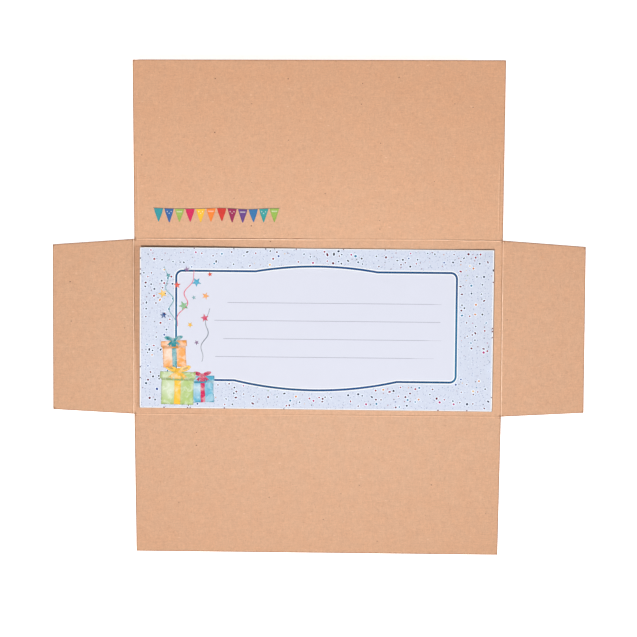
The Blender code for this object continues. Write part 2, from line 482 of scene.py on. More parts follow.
def slab(name, corners, radii, free, wall, place, material, warp=None, areas=(), blank=None, grid=4.0, card=False):
    """A closed sheet. wall lists (inset, height, how much of the cut edge shows) from the upper face's rim down to the lower one's.
    The upper face is triangulated around the printed areas, the later ones over the earlier."""
    pts, flags = rounded(corners, radii, free)
    n = len(pts)
    counts = [max(1, round((pts[(i + 1) % n] - pts[i]).length / grid)) for i in range(n)]

    def ring(depth):
        v = inset(pts, flags, depth)
        loop = []
        for i in range(n):
            a, b = v[i], v[(i + 1) % n]
            loop += [tuple(a + (b - a) * (k / counts[i])) for k in range(counts[i])]
        return loop

    xy, z, cut = [], [], []
    rings = []
    for depth, height, show in wall:
        loop = ring(depth)
        rings.append(list(range(len(xy), len(xy) + len(loop))))
        xy += loop
        z += [height] * len(loop)
        cut += [show] * len(loop)
    m = len(rings[0])
    faces, owner = [], []
    for upper, lower in zip(rings, rings[1:]):
        for i in range(m):
            j = (i + 1) % m
            faces.append([upper[i], lower[i], lower[j], upper[j]])
            owner.append(-2)

    outline = np.array([tuple(p) for p in pts])
    free_starts = np.array([tuple(pts[i]) for i in range(n) if flags[i]]).reshape(-1, 2)
    free_ends = np.array([tuple(pts[(i + 1) % n]) for i in range(n) if flags[i]]).reshape(-1, 2)
    square = [Vector(c) for c in corners]

    def spread(step, segments, clear):
        """Grid points inside the sheet, and finer ones along its free edges, clear of the segments."""
        lo, hi = outline.min(0), outline.max(0)
        nx, ny = max(2, round((hi[0] - lo[0]) / step)), max(2, round((hi[1] - lo[1]) / step))
        cand = [(lo[0] + (hi[0] - lo[0]) * (i + 0.5) / nx, lo[1] + (hi[1] - lo[1]) * (j + 0.5) / ny) for j in range(ny) for i in range(nx)]
        for depth in (0.5, 1.2):
            v = inset(square, free, depth)
            for i in range(len(v)):
                a, b = v[i], v[(i + 1) % len(v)]
                if not free[i]:
                    continue
                k = max(2, round((b - a).length / (step * 0.75)))
                cand += [tuple(a + (b - a) * ((t + 0.5) / k)) for t in range(k)]
        cand = np.array(cand)
        cand = cand[inside(cand, [tuple(p) for p in pts])]
        cand = cand[gap_to(cand, outline, np.roll(outline, -1, axis=0)) > 0.3]
        if len(segments):
            cand = cand[gap_to(cand, segments[:, 0], segments[:, 1]) > clear]
        return [tuple(p) for p in cand]

    def cap(ring_ids, height, areas, loose, up):
        base = [xy[i] for i in ring_ids]
        points = list(base)
        outlines = [list(range(len(base)))]
        for a in areas:
            outlines.append(list(range(len(points), len(points) + len(a.outline))))
            points += a.outline
        points += loose
        verts, _, tris, _, _, owners = delaunay_2d_cdt([Vector(p) for p in points], [], outlines, 0, 1e-5)
        known = {(round(x, 3), round(y, 3)): i for (x, y), i in zip(base, ring_ids)}
        ids = []
        for v in verts:
            key = (round(v.x, 3), round(v.y, 3))
            if key not in known:
                known[key] = len(xy)
                xy.append((v.x, v.y))
                z.append(height)
                cut.append(0.0)
            ids.append(known[key])
        for tri, own in zip(tris, owners):
            if 0 not in own:
                continue
            f = [ids[t] for t in tri]
            if len(set(f)) < 3:
                continue
            a = area_of([xy[t] for t in f])
            if abs(a) < 1e-9:
                continue
            if (a > 0) != up:
                f = f[::-1]
            faces.append(f)
            over = [o for o in own if o > 0]
            owner.append((max(over) - 1 if over else -1) if up else -3)

    segments = []
    loose = []
    for a in areas:
        segments.append(np.stack([a.starts, a.ends], 1))
        loose += a.points()
    segments = np.concatenate(segments) if segments else np.zeros((0, 2, 2))
    cap(rings[0], wall[0][1], list(areas), spread(grid, segments, 0.35) + loose, True)
    cap(rings[-1], wall[-1][1], [], spread(grid, np.zeros((0, 2, 2)), 0.0), False)

    flat = np.array(xy)
    height = np.array(z)
    if warp is not None:
        height = height + np.array([warp(x, y) for x, y in flat])
    coords = np.column_stack([flat, height, np.ones(len(flat))]) @ np.array(place).T
    coords = coords[:, :3]
    away = gap_to(flat, free_starts, free_ends) if len(free_starts) else np.full(len(flat), 9.0)
    attributes = {"rim": np.clip(1 - away / 1.0, 0, 1), "wall": cut}

    corner = None
    if areas or blank:
        ink, wash, fleck = [], [], []
        depth_of = {}
        for k, a in enumerate(areas):
            if callable(a.paint):
                mine = sorted({v for f, o in zip(faces, owner) if o == k for v in f})
                depth_of[k] = dict(zip(mine, gap_to(flat[mine], a.starts, a.ends))) if mine else {}
        bare = (*blank, 0.0) if blank else (0.0, 0.0, 0.0, 0.0)
        for f, o in zip(faces, owner):
            for v in f:
                if o < 0:
                    ink.append(bare)
                    wash.append(0.0)
                    fleck.append(0.0)
                    continue
                a = areas[o]
                paint = a.paint(flat[v][0], flat[v][1], depth_of[o][v]) if callable(a.paint) else a.paint
                ink.append((*paint, a.cover))
                wash.append(a.wash)
                fleck.append(a.fleck)
        corner = {"ink": ink}
        if card:
            corner["wash"], corner["fleck"] = wash, fleck
    left = open_edges(faces)
    if left:
        print(f"{name}: {left} edges are not shared by two faces")
    return finish_mesh(name, coords, faces, attributes, corner, material)


def fold_frame(middle, turn, axis, lift=0.0):
    """From a flap's own frame (x along the fold, y out along the flap, z up from the board's underside) to the shared frame."""
    return (
        Matrix.Translation((middle[0] * MM, middle[1] * MM, axis * MM))
        @ Matrix.Rotation(math.radians(turn), 4, "Z")
        @ Matrix.Rotation(math.radians(lift), 4, "X")
        @ Matrix.Translation((0.0, 0.0, -axis * MM))
        @ Matrix.Scale(MM, 4)
    )


# the die-cut edge: the knife rounds the upper arris and leaves a crisper lower one
BOARD_WALL = (
    (0.14, 0.500, 0.0), (0.065, 0.485, 0.25), (0.020, 0.450, 0.7), (0.0, 0.390, 1.0),
    (0.0, 0.120, 1.0), (0.016, 0.060, 0.8), (0.055, 0.016, 0.3), (0.110, 0.0, 0.0),
)
CARD_WALL = (
    (0.045, 0.300, 0.2), (0.012, 0.286, 0.8), (0.0, 0.255, 1.0),
    (0.0, 0.045, 1.0), (0.012, 0.014, 0.8), (0.045, 0.0, 0.2),
)


def along_fold(value, u):
    return value(u) if callable(value) else value


def crease(name, length, middle, turn, axis, ends, material, seed, lift=0.0, relief=1.0, wear_and_shade=(1.0, 1.0), bright=1.0, stray=0.0):
    """The strip of crushed board along a fold: a bead on the inside, a groove on the outside, and the flap's lift taken
    up across it.
    ends(s) gives how far the strip's two ends lie from its middle, at s across it. wear_and_shade is how dark the lines
    on the panel's and the flap's side of the bead are, partly crushed fibre and partly painted shade; bright is how
    pale its crest is, partly wear and partly a painted highlight; and stray is how far the bead strays towards the
    flap. Each is a number, or a function of u along the fold."""
    across = np.linspace(-BORDER, BORDER, 33)
    along = 110 if length > 150 else 64
    rng = random.Random(seed)
    phase = [rng.uniform(0, 40) for _ in range(3)]

    def line(u):
        """Where the bead's crest runs: nearly straight, with small kinks."""
        w = 0.05 * noise.noise(Vector((u * 0.035, phase[0], 0.0))) + 0.05 * noise.noise(Vector((u * 0.22, phase[1], 4.0)))
        return w + along_fold(stray, u)

    def bead(u, s):
        rise = 0.17 * along_fold(relief, u) * (1 + 0.30 * noise.noise(Vector((u * 0.09, phase[1], 0.0))) + 0.22 * noise.noise(Vector((u * 0.45, phase[2], 2.0))))
        d = s - line(u)
        hill = math.exp(-((d / 0.32) ** 2)) - 0.22 * math.exp(-(((abs(d) - 0.62) / 0.12) ** 2))
        fade = smooth((BORDER - abs(s)) / 0.16)
        return rise * hill * fade

    def groove(u, s):
        return 0.17 * math.exp(-((s / 0.25) ** 2)) * smooth((BORDER - abs(s)) / 0.18)

    turn_in = [(0.14, 0.0, 0.0), (0.065, -0.015, 0.25), (0.020, -0.050, 0.7), (0.0, -0.110, 1.0)]
    turn_out = [(0.0, 0.120, 1.0), (0.016, 0.060, 0.8), (0.055, 0.016, 0.3), (0.110, 0.0, 0.0)]
    coords, rim, cut, crush_and_shade, crest_wear_and_highlight = [], [], [], [], []
    rows = []
    place = Matrix.Translation((middle[0] * MM, middle[1] * MM, 0.0)) @ Matrix.Rotation(math.radians(turn), 4, "Z") @ Matrix.Scale(MM, 4)
    for s in across:
        low, high = ends(s)
        ring = []
        for k in range(along + 1):
            u = low + 0.14 + (high - low - 0.28) * k / along
            ring.append((u, BOARD + bead(u, s), 0.0))
        for d, dz, show in turn_in[1:]:
            ring.append((high - d, BOARD + dz, show))
        for d, h, show in turn_out:
            ring.append((high - d, h if d < 0.1 else groove(high, s), show))
        for k in range(1, along + 1):
            u = high - 0.110 + (low + 0.220 - high) * k / along
            ring.append((u, groove(u, s), 0.0))
        for d, h, show in turn_out[::-1][1:]:
            ring.append((low + d, h, show))
        for d, dz, show in turn_in[:0:-1]:
            ring.append((low + d, BOARD + dz, show))
        row = []
        angle = math.radians(lift) * smooth((s + BORDER) / (2 * BORDER))
        for u, h, show in ring:
            y, hz = s, h - axis
            y, hz = y * math.cos(angle) - hz * math.sin(angle), y * math.sin(angle) + hz * math.cos(angle)
            row.append(len(coords))
            coords.append(tuple(place @ Vector((u, y, hz + axis))))
            rim.append(max(0.0, 1 - min(u - low, high - u) / 1.0))
            cut.append(show)
            d = s - line(u)
            patch = 0.80 + 0.5 * noise.noise(Vector((u * 0.16, phase[2], 1.0)))
            inner = h > 0.3  # the inner face gets the dark lines, partly crushed fibre and partly painted shade, and the full crest, partly wear and partly painted highlight; the outer one only a faint paler crest
            crush_and_shade.append(0.0 if not inner else along_fold(wear_and_shade[0] if d < 0 else wear_and_shade[1], u) * patch * math.exp(-(((abs(d) - 0.44) / 0.20) ** 2)) * smooth((BORDER - abs(s)) / 0.15))
            crest_wear_and_highlight.append((1.0 if inner else 0.3) * along_fold(bright, u) * math.exp(-((d / 0.22) ** 2)))
        rows.append(row)
    m = len(rows[0])
    faces = []
    for a, b in zip(rows, rows[1:]):
        for i in range(m):
            j = (i + 1) % m
            faces.append([a[i], a[j], b[j], b[i]])
    faces.append(rows[0][::-1])
    faces.append(list(rows[-1]))
    left = open_edges(faces)
    if left:
        print(f"{name}: {left} edges are not shared by two faces")
    ob = finish_mesh(name, coords, faces, {"rim": rim, "wall": cut, "crush_and_shade": crush_and_shade, "crest_wear_and_highlight": crest_wear_and_highlight}, None, material)
    return ob


# ------------------------------------------------------------------ printed shapes (millimetres)

def dot(x, y, r, n=8, squash=1.0, turn=0.0):
    c, s = math.cos(turn), math.sin(turn)
    out = []
    for k in range(n):
        a = 2 * math.pi * k / n
        px, py = r * math.cos(a), r * squash * math.sin(a)
        out.append((x + px * c - py * s, y + px * s + py * c))
    return out


def star(x, y, r, inner=0.45, turn=0.0, tips=5, blunt=0.12):
    """A star with slightly blunted tips."""
    out = []
    for k in range(tips * 2):
        a = math.pi / 2 + turn + math.pi * k / tips
        if k % 2:
            out.append((x + r * inner * math.cos(a), y + r * inner * math.sin(a)))
        else:
            for d in (-blunt, 0.0, blunt):
                q = r * (0.965 if d else 1.0)
                out.append((x + q * math.cos(a + d * 0.5), y + q * math.sin(a + d * 0.5)))
    return out


def band(path, width, closed=False):
    """The outline of a line of the given width (a number, or a function of how far along, 0 to 1) along the path."""
    n = len(path)
    left, right = [], []
    for i in range(n):
        a = Vector(path[i - 1] if i or closed else path[0])
        b = Vector(path[(i + 1) % n] if i < n - 1 or closed else path[-1])
        d = (b - a).normalized()
        w = (width(i / (n - 1)) if callable(width) else width) / 2
        p = Vector(path[i])
        left.append(tuple(p + Vector((-d.y, d.x)) * w))
        right.append(tuple(p - Vector((-d.y, d.x)) * w))
    return right + left[::-1]


def offset_path(path, d):
    """A closed path, counter-clockwise, moved outwards by d."""
    n = len(path)
    out = []
    for i in range(n):
        p, a, b = Vector(path[i]), Vector(path[i - 1]), Vector(path[(i + 1) % n])
        u, v = (p - a).normalized(), (b - p).normalized()
        n1, n2 = Vector((u.y, -u.x)), Vector((v.y, -v.x))
        m = n1 + n2
        m = m.normalized() * (d / max(0.5, m.normalized().dot(n1)))
        out.append(tuple(p + m))
    return out


def wobble(poly, amount, seed, step=1.2):
    """The outline redrawn by hand: finer, with each point moved a little."""
    out = []
    n = len(poly)
    for i in range(n):
        a, b = Vector(poly[i]), Vector(poly[(i + 1) % n])
        k = max(1, round((b - a).length / step))
        for t in range(k):
            p = a + (b - a) * (t / k)
            q = Vector((p.x * 0.35, p.y * 0.35, seed * 3.7))
            out.append((p.x + amount * noise.noise(q), p.y + amount * noise.noise(q + Vector((9.1, 4.3, 2.2)))))
    return out


def frame_path():
    """Middle line of the label's frame: a rectangle with small round corners, arched in the middle above and below."""
    w, low, high, r = 83.75, -31.0, 34.4, 3.6
    out = []

    def line(a, b, step=3.0):
        k = max(1, round((Vector(b) - Vector(a)).length / step))
        out.extend([(a[0] + (b[0] - a[0]) * t / k, a[1] + (b[1] - a[1]) * t / k) for t in range(k)])

    def corner(cx, cy, a0):
        for k in range(7):
            a = a0 + math.pi / 2 * k / 7
            out.append((cx + r * math.cos(a), cy + r * math.sin(a)))

    def arch(x0, x1, y, rise, steps=34):
        half = abs(x1 - x0) / 2
        rad = (half * half + rise * rise) / (2 * abs(rise))
        mid = (x0 + x1) / 2
        for k in range(steps):
            x = x0 + (x1 - x0) * k / steps
            h = math.sqrt(rad * rad - (x - mid) ** 2) - (rad - abs(rise))
            out.append((x, y + math.copysign(h, rise)))

    line((-w + r, low), (-48.8, low))
    arch(-48.8, 48.6, low, -5.55)
    line((48.6, low), (w - r, low))
    corner(w - r, low + r, -math.pi / 2)
    line((w, low + r), (w, high - r))
    corner(w - r, high - r, 0.0)
    line((w - r, high), (36.6, high))
    arch(36.6, -36.2, high, 3.15)
    line((-36.2, high), (-w + r, high))
    corner(-w + r, high - r, math.pi / 2)
    line((-w, high - r), (-w, low + r))
    corner(-w + r, low + r, math.pi)
    return out


PAPER = (0.900, 0.905, 0.910)
BORDER_BLUE = (0.6000, 0.6430, 0.7600)
LABEL = (0.6630, 0.6760, 0.7720)
KEYLINE = (0.870, 0.880, 0.895)


def watercolour(base, edge=0.55, band_mm=0.65, light=(0.0, 0.0), reach=0.0, gain=0.35):
    """Paint with a darker dried edge and, within reach of light, a lifted highlight."""

    def paint(x, y, depth):
        c = mixed(scaled(base, edge), base, smooth(depth / band_mm))
        if reach:
            k = math.exp(-(((x - light[0]) ** 2 + (y - light[1]) ** 2) / reach**2))
            c = mixed(c, (0.92, 0.93, 0.94), gain * k * smooth(depth / 0.8))
        return c

    return paint


GREEN, BLUE, ORANGE = lin(172, 196, 118), lin(74, 168, 200), lin(244, 160, 74)
TEAL, CRIMSON, YELLOW = lin(38, 146, 156), lin(206, 30, 88), lin(250, 192, 60)
PURPLE, NAVY, CORAL = lin(116, 58, 130), lin(34, 82, 146), lin(230, 78, 48)


def gift(x, y, w, h, lid_h, over, paper, ribbon, seed, tilt=0.0):
    """A wrapped box standing on (x, y) with a lid, ribbon and bow, in paint. Returns its areas, back to front."""
    c, s = math.cos(tilt), math.sin(tilt)

    def at(pts):
        return [(x + px * c - py * s, y + px * s + py * c) for px, py in pts]

    def shape(pts, paint, amount=0.22, step=1.2, wash=0.9, fine=0.9, rim=0.3, key=0):
        return Area(wobble(at(pts), amount, seed + key, step), paint, wash=wash, fine=fine, rim=rim)

    glow = at([(-w * 0.22, h * 0.66)])[0]
    out = [
        shape([(-w / 2, 0), (w / 2, 0), (w / 2 - 0.15, h), (-w / 2 + 0.15, h)], watercolour(paper, light=glow, reach=w * 0.34, gain=0.45)),
        shape([(-w * 0.10, 0.1), (w * 0.10, 0.1), (w * 0.095, h), (-w * 0.095, h)], watercolour(ribbon, edge=0.7, band_mm=0.4), fine=0.7, rim=0.22, key=1),
        shape([(-w / 2, h - 0.95), (w / 2, h - 0.95), (w / 2, h), (-w / 2, h)], watercolour(scaled(paper, 0.70), edge=0.92), amount=0.12, fine=None, key=2),
        shape([(-w / 2 - over, h), (w / 2 + over, h), (w / 2 + over - 0.1, h + lid_h), (-w / 2 - over + 0.1, h + lid_h)], watercolour(scaled(paper, 0.93), light=(glow[0], glow[1] + h * 0.4), reach=w * 0.3, gain=0.35), key=3),
        shape([(-w * 0.105, h), (w * 0.105, h), (w * 0.105, h + lid_h), (-w * 0.105, h + lid_h)], watercolour(scaled(ribbon, 0.9), edge=0.7, band_mm=0.4), fine=0.7, rim=0.22, key=4),
    ]
    top = h + lid_h
    k = w * 0.20

    def loop(side):
        pts = []
        for i in range(15):
            a = math.pi * 2 * i / 15
            lx = k * 1.02 + k * 0.98 * math.cos(a)
            ly = k * 0.62 + k * 0.46 * math.sin(a) + 0.28 * lx
            pts.append((side * lx, top + ly - k * 0.42))
        return pts

    def hollow(side):
        pts = []
        for i in range(10):
            a = math.pi * 2 * i / 10
            lx = k * 1.12 + k * 0.46 * math.cos(a)
            ly = k * 0.62 + k * 0.18 * math.sin(a) + 0.28 * lx
            pts.append((side * lx, top + ly - k * 0.42))
        return pts

    for side, key in ((-1, 5), (1, 6)):
        tail = [(side * k * 0.1, top + k * 0.15), (side * k * 0.9, top - k * 0.30), (side * k * 1.55, top - k * 0.95), (side * k * 1.15, top - k * 0.85), (side * k * 0.95, top - k * 1.25), (side * k * 0.45, top - k * 0.55)]
        out.append(shape(tail, watercolour(scaled(ribbon, 0.86), edge=0.7, band_mm=0.35), amount=0.1, step=1.0, fine=0.6, rim=0.2, key=key + 4))
        out.append(shape(loop(side), watercolour(ribbon, edge=0.66, band_mm=0.45), amount=0.1, step=1.0, fine=0.6, rim=0.2, key=key))
        out.append(shape(hollow(side), watercolour(scaled(ribbon, 0.55), edge=0.85, band_mm=0.3), amount=0.05, step=0.8, fine=None, key=key + 2))
    out.append(shape([(math.cos(a) * k * 0.42, top + k * 0.22 + math.sin(a) * k * 0.36) for a in [math.pi * 2 * i / 10 for i in range(10)]], watercolour(scaled(ribbon, 0.82), edge=0.7, band_mm=0.3), amount=0.05, step=0.8, fine=0.5, rim=0.18, key=9))
    return out


def card_print():
    """The card's print, back to front: pale border with confetti, the label's frame and lines, and a painted stack of gifts."""
    areas = []
    trim = 0.55
    half_w, half_h = CARD_W / 2 - trim, CARD_H / 2 - trim
    areas.append(Area([(-half_w + 0.2, -half_h + 0.05), (half_w - 0.15, -half_h + 0.05), (half_w - 0.15, half_h), (-half_w + 0.2, half_h)], BORDER_BLUE, fleck=1.0))

    path = frame_path()
    keep_out = np.array(offset_path(path, 1.15))
    ks, ke = keep_out, np.roll(keep_out, -1, axis=0)
    rng = random.Random(4127)
    inks = [
        (lin(28, 6, 32), 20), (lin(98, 0, 40), 42), (lin(0, 4, 58), 16), (lin(0, 46, 80), 12), (lin(0, 112, 150), 12),
        (lin(30, 62, 140), 7), (lin(146, 0, 44), 14), (lin(206, 132, 60), 9), (lin(140, 16, 20), 6), (lin(172, 0, 100), 6),
        (lin(104, 142, 30), 3), (lin(222, 178, 110), 3),
    ]
    bag = [c for c, k in inks for _ in range(k)]
    placed, dots = [], []
    tries = 0
    while len(placed) < 350 and tries < 16000:
        tries += 1
        x, y = rng.uniform(-half_w + 0.9, half_w - 0.9), rng.uniform(-half_h + 0.9, half_h - 0.9)
        clump = noise.noise(Vector((x * 0.06, y * 0.06, 3.3)))
        if rng.random() > 0.60 + 0.9 * clump:
            continue
        p = np.array([(x, y)])
        if inside(p, [tuple(q) for q in keep_out])[0] or gap_to(p, ks, ke)[0] < 0.75:
            continue
        if any((x - a) ** 2 + (y - b) ** 2 < 3.0 for a, b in placed):
            continue
        placed.append((x, y))
        ink = rng.choice(bag)
        kind = rng.random()
        if kind < 0.34:                      # faint and small
            r, ink = rng.uniform(0.30, 0.38), mixed(ink, BORDER_BLUE, rng.uniform(0.0, 0.3))
        elif kind < 0.68:
            r = rng.uniform(0.46, 0.54)
        elif kind < 0.95:
            r = rng.uniform(0.58, 0.67)
        else:
            r = rng.uniform(0.70, 0.80)
        long = kind >= 0.5 and rng.random() < 0.20
        turn = rng.uniform(0, math.pi)
        if kind >= 0.34:
            wide = r * (1.35 if long else 1.0) + 0.48
            areas.append(Area(dot(x, y, wide, 9, 0.8 if long else 1.0, turn), (0.76, 0.83, 0.94)))
        dots.append(Area(dot(x, y, r * 1.35, 10, 0.58, turn) if long else dot(x, y, r, 9, rng.uniform(0.84, 1.0), turn), ink))
    # a few dots of the full bleed print run onto the trimmed rim
    for k in range(26):
        side = rng.choice("ttbblr")
        r = rng.uniform(0.32, 0.46)
        x, y = rng.uniform(-half_w + 2, half_w - 2), rng.uniform(-half_h + 2, half_h - 2)
        x = {"l": -half_w - trim + r + 0.06, "r": half_w + trim - r - 0.06}.get(side, x)
        y = {"t": half_h + trim - r - 0.06, "b": -half_h - trim + r + 0.06}.get(side, y)
        dots.append(Area(dot(x, y, r, 8, 1.0, rng.uniform(0, 3)), rng.choice(bag[:90])))
    areas += dots

    navy, steel, deep = lin(14, 72, 130), lin(26, 108, 150), lin(12, 56, 104)

    def stroke(x, y, depth):
        t = 0.5 + 0.9 * noise.noise(Vector((x * 0.022 + 5.0, y * 0.03, 1.0)))
        side = smooth((abs(x) - 80.0) / 3.0) * smooth((26.0 - y) / 24.0)
        c = mixed(navy, deep, t)
        return mixed(c, steel, max(side * 0.85, 0.25 * t))

    areas.append(Area(offset_path(path, 1.22), KEYLINE))
    areas.append(Area(offset_path(path, 0.62), stroke))
    areas.append(Area(offset_path(path, -0.62), KEYLINE))
    areas.append(Area(offset_path(path, -1.22), LABEL))

    rule_ink = lin(150, 148, 166)
    for y, x0, x1, thin in ((15.62, -53.0, 74.9, 68.5), (4.92, -60.8, 74.2, 73.4), (-6.02, -55.4, 74.9, 63.8), (-16.80, -60.2, 70.6, 56.0)):
        pts = [(x0 + (x1 - x0) * k / 45, y) for k in range(46)]
        areas.append(Area(band(pts, lambda t: 0.27 - 0.17 * smooth((x0 + (x1 - x0) * t - thin) / 5.0)), rule_ink))

    # streamers that rise from the gifts
    def streamer(x0, y0, x1, y1, swing, turns, phase, width, ink):
        pts = []
        for k in range(61):
            t = k / 60
            bow = swing * (0.25 + 0.75 * math.sin(math.pi * min(1.0, t * 1.1)))
            pts.append((x0 + (x1 - x0) * t + bow * math.sin(turns * 2 * math.pi * t + phase), y0 + (y1 - y0) * t))
        return Area(band(pts, lambda t: width * (0.55 + 0.45 * math.sin(math.pi * t))), ink, wash=0.5)

    areas.append(streamer(-84.6, 1.0, -90.6, 37.0, 2.0, 2.6, 0.4, 0.62, lin(112, 160, 170)))
    areas.append(streamer(-83.4, 1.0, -72.8, 34.5, 2.3, 2.2, 2.4, 0.62, lin(214, 96, 120)))
    areas.append(streamer(-68.6, -20.0, -64.0, 12.0, 1.7, 2.0, 1.2, 0.55, lin(120, 128, 140)))

    areas += gift(-67.4, -44.6, 13.4, 12.6, 3.4, 0.7, BLUE, CRIMSON, 21.0, 0.03)
    areas += gift(-83.0, -46.0, 19.6, 15.4, 4.4, 1.0, GREEN, YELLOW, 5.0, -0.02)
    areas += gift(-84.4, -23.4, 14.0, 12.2, 3.7, 0.8, ORANGE, TEAL, 13.0, 0.05)

    for x, y, r, ink, turn in (
        (-66.6, 6.2, 2.5, CRIMSON, 0.2), (-75.4, 2.0, 1.7, YELLOW, 0.7), (-91.4, 7.6, 2.1, NAVY, 0.1),
        (-79.4, 13.4, 2.9, lin(92, 166, 96), 0.4), (-66.2, 19.4, 2.2, ORANGE, 0.9), (-91.8, 20.6, 2.7, YELLOW, 0.35),
        (-83.2, 25.8, 2.1, CORAL, 0.0), (-71.6, 27.6, 2.8, BLUE, 0.6), (-77.4, 35.2, 1.8, PURPLE, 0.25), (-88.4, 31.4, 1.6, TEAL, 0.5),
        (-63.6, 32.4, 1.5, CORAL, 0.15), (-71.4, -8.6, 1.5, PURPLE, 0.5), (-73.2, 18.4, 1.3, TEAL, 0.3),
    ):
        areas.append(Area(star(x, y, r, turn=turn), watercolour(ink, edge=0.66, band_mm=0.4), wash=0.8, fine=0.6, rim=0.2))
    return areas


def flap_print():
    """A row of small pennants on a thin cord, printed across the left of the top flap above its fold. x, y as in the flap's own frame."""
    areas = []
    x0, x1, y = -98.4, -22.9, 18.5
    inks = [TEAL, lin(40, 96, 158), lin(150, 178, 86), CRIMSON, lin(244, 186, 54), lin(240, 128, 50), lin(204, 48, 44), lin(150, 34, 84), lin(96, 62, 132), lin(38, 110, 164), lin(40, 150, 150), lin(142, 176, 78)]

    def sag(x):
        t = (x - x0) / (x1 - x0)
        return y - 0.55 * math.sin(2 * math.pi * t) ** 2 - 0.10 * math.sin(math.pi * 6 * t)

    cord = [(x0 + (x1 - x0) * k / 70, sag(x0 + (x1 - x0) * k / 70)) for k in range(71)]
    step = (x1 - x0) / len(inks)
    for k, ink in enumerate(inks):
        a, b = x0 + step * k + 0.32, x0 + step * (k + 1) - 0.32
        mid = (a + b) / 2 + 0.14 * math.sin(k * 2.3)
        top_a, top_b = sag(a), sag(b)
        drop = min(top_a, top_b) - 8.1 - 0.3 * math.sin(k * 1.9)
        pts = [(a, top_a), (a + (mid - a) * 0.22, top_a - 2.6), (mid - 0.35, drop + 0.45), (mid, drop), (mid + 0.35, drop + 0.45), (b - (b - mid) * 0.22, top_b - 2.6), (b, top_b), (mid, (top_a + top_b) / 2 - 0.05)]
        areas.append(Area(wobble(pts, 0.08, 40 + k, 1.4), watercolour(ink, edge=0.80, band_mm=0.5), cover=0.97, fine=1.0, rim=0.35))
        if k % 3 == 1:
            for j in (-1, 0, 1):
                areas.append(Area(dot(mid + j * 1.15, (top_a + top_b) / 2 - 1.9 - 1.0 * (j == 0), 0.36, 8), mixed(ink, (0.9, 0.88, 0.8), 0.5), cover=0.9))
        elif k % 3 == 2:
            low_y = (top_a + top_b) / 2 - 1.5
            areas.append(Area([(mid - 1.75, low_y), (mid - 1.5, low_y - 0.75), (mid + 1.5, low_y - 0.75), (mid + 1.75, low_y)], mixed(ink, (0.9, 0.88, 0.8), 0.4), cover=0.9))
    areas.append(Area(band(cord, 0.36), lin(90, 76, 70), cover=0.85))

    # the lines that the closed side flaps have pressed: a darker line, partly crushed board and partly painted shade of
    # the groove, with a painted highlight beside it
    for side in (-1, 1):
        run = [(side * (PRESS_AT[side] + 0.07 * noise.noise(Vector((t * 0.11, side * 3.0, 0.0)))), 5.0 + 41.0 * t / 24) for t in range(25)]
        painted_highlight_run = [(x - side * 0.62, y) for x, y in run]
        areas.append(Area(band(painted_highlight_run, lambda t: 0.15 + 0.42 * math.sin(math.pi * t) ** 0.5), lin(255, 220, 188), cover=0.17))
        areas.append(Area(band(run, lambda t: 0.20 + 0.42 * math.sin(math.pi * t) ** 0.5), lin(150, 98, 64), cover=0.30 if side > 0 else 0.18))
    return areas


# ------------------------------------------------------------------ warps (millimetres)

def ripple(seed, size, scale):
    """A slight, slow unevenness of the board."""

    def f(x, y):
        return size * noise.noise(Vector((x * scale, y * scale, seed)))

    return f


PRESS_AT = {-1: 108.15, 1: 107.75}      # the closed side flaps' edges lie a little unevenly


def flap_warp(seed, reach):
    f = ripple(seed, 0.10, 0.016)

    def g(x, y):
        k = smooth((y - BORDER) / 14.0)
        return k * max(0.0, 0.05 + f(x, y)) if k > 0 else 0.0

    return g


def panel_warp(x, y):
    k = min(smooth((PANEL_W / 2 - BORDER - abs(x)) / 8.0), smooth((PANEL_H / 2 - BORDER - abs(y)) / 8.0))
    return k * 0.04 * (0.6 + noise.noise(Vector((x * 0.016, y * 0.02, 7.7))))


def card_warp(x, y):
    """The card lies flat along the bottom, and its left and right sides and its upper corners spring up a little."""
    left = 0.72 * math.exp(-(x + CARD_W / 2) / 20.0) * (0.12 + 0.88 * smooth((y + 36.0) / 46.0))
    right = 0.86 * math.exp(-(CARD_W / 2 - x) / 12.0) * (0.45 + 0.55 * smooth((y + 50.0) / 30.0)) * (0.40 + 0.60 * smooth((CARD_H / 2 - y) / 8.0))
    up = math.exp(-(CARD_H / 2 - y) / 15.0)
    along = 0.32 * smooth((-2.0 - x) / 26.0) + 0.48 * smooth((-30.0 - x) / 58.0) + 0.12 * smooth((x - 66.0) / 24.0) + 0.10
    along += 0.08 * math.sin(x * 0.085 + 0.6) * smooth((-10.0 - x) / 20.0)
    total = -0.22 + left + right + up * along + 0.04 * noise.noise(Vector((x * 0.02, y * 0.02, 2.0)))
    ceiling = 0.80
    return total if total < 0.5 else 0.5 + (ceiling - 0.5) * (1 - math.exp(-(total - 0.5) / (ceiling - 0.5)))


TOP_WARP = flap_warp(11.0, TOP_REACH)


def pressed(x, y):
    """The top flap's lift, with the shallow grooves that the closed side flaps have pressed into it."""
    fade = smooth((y - 5.0) / 6.0) * smooth((46.0 - y) / 8.0)
    groove = math.exp(-(((abs(x) - PRESS_AT[1 if x > 0 else -1]) / 0.28) ** 2))
    return max(0.0, TOP_WARP(x, y) - 0.045 * fade * groove)


# ------------------------------------------------------------------ build

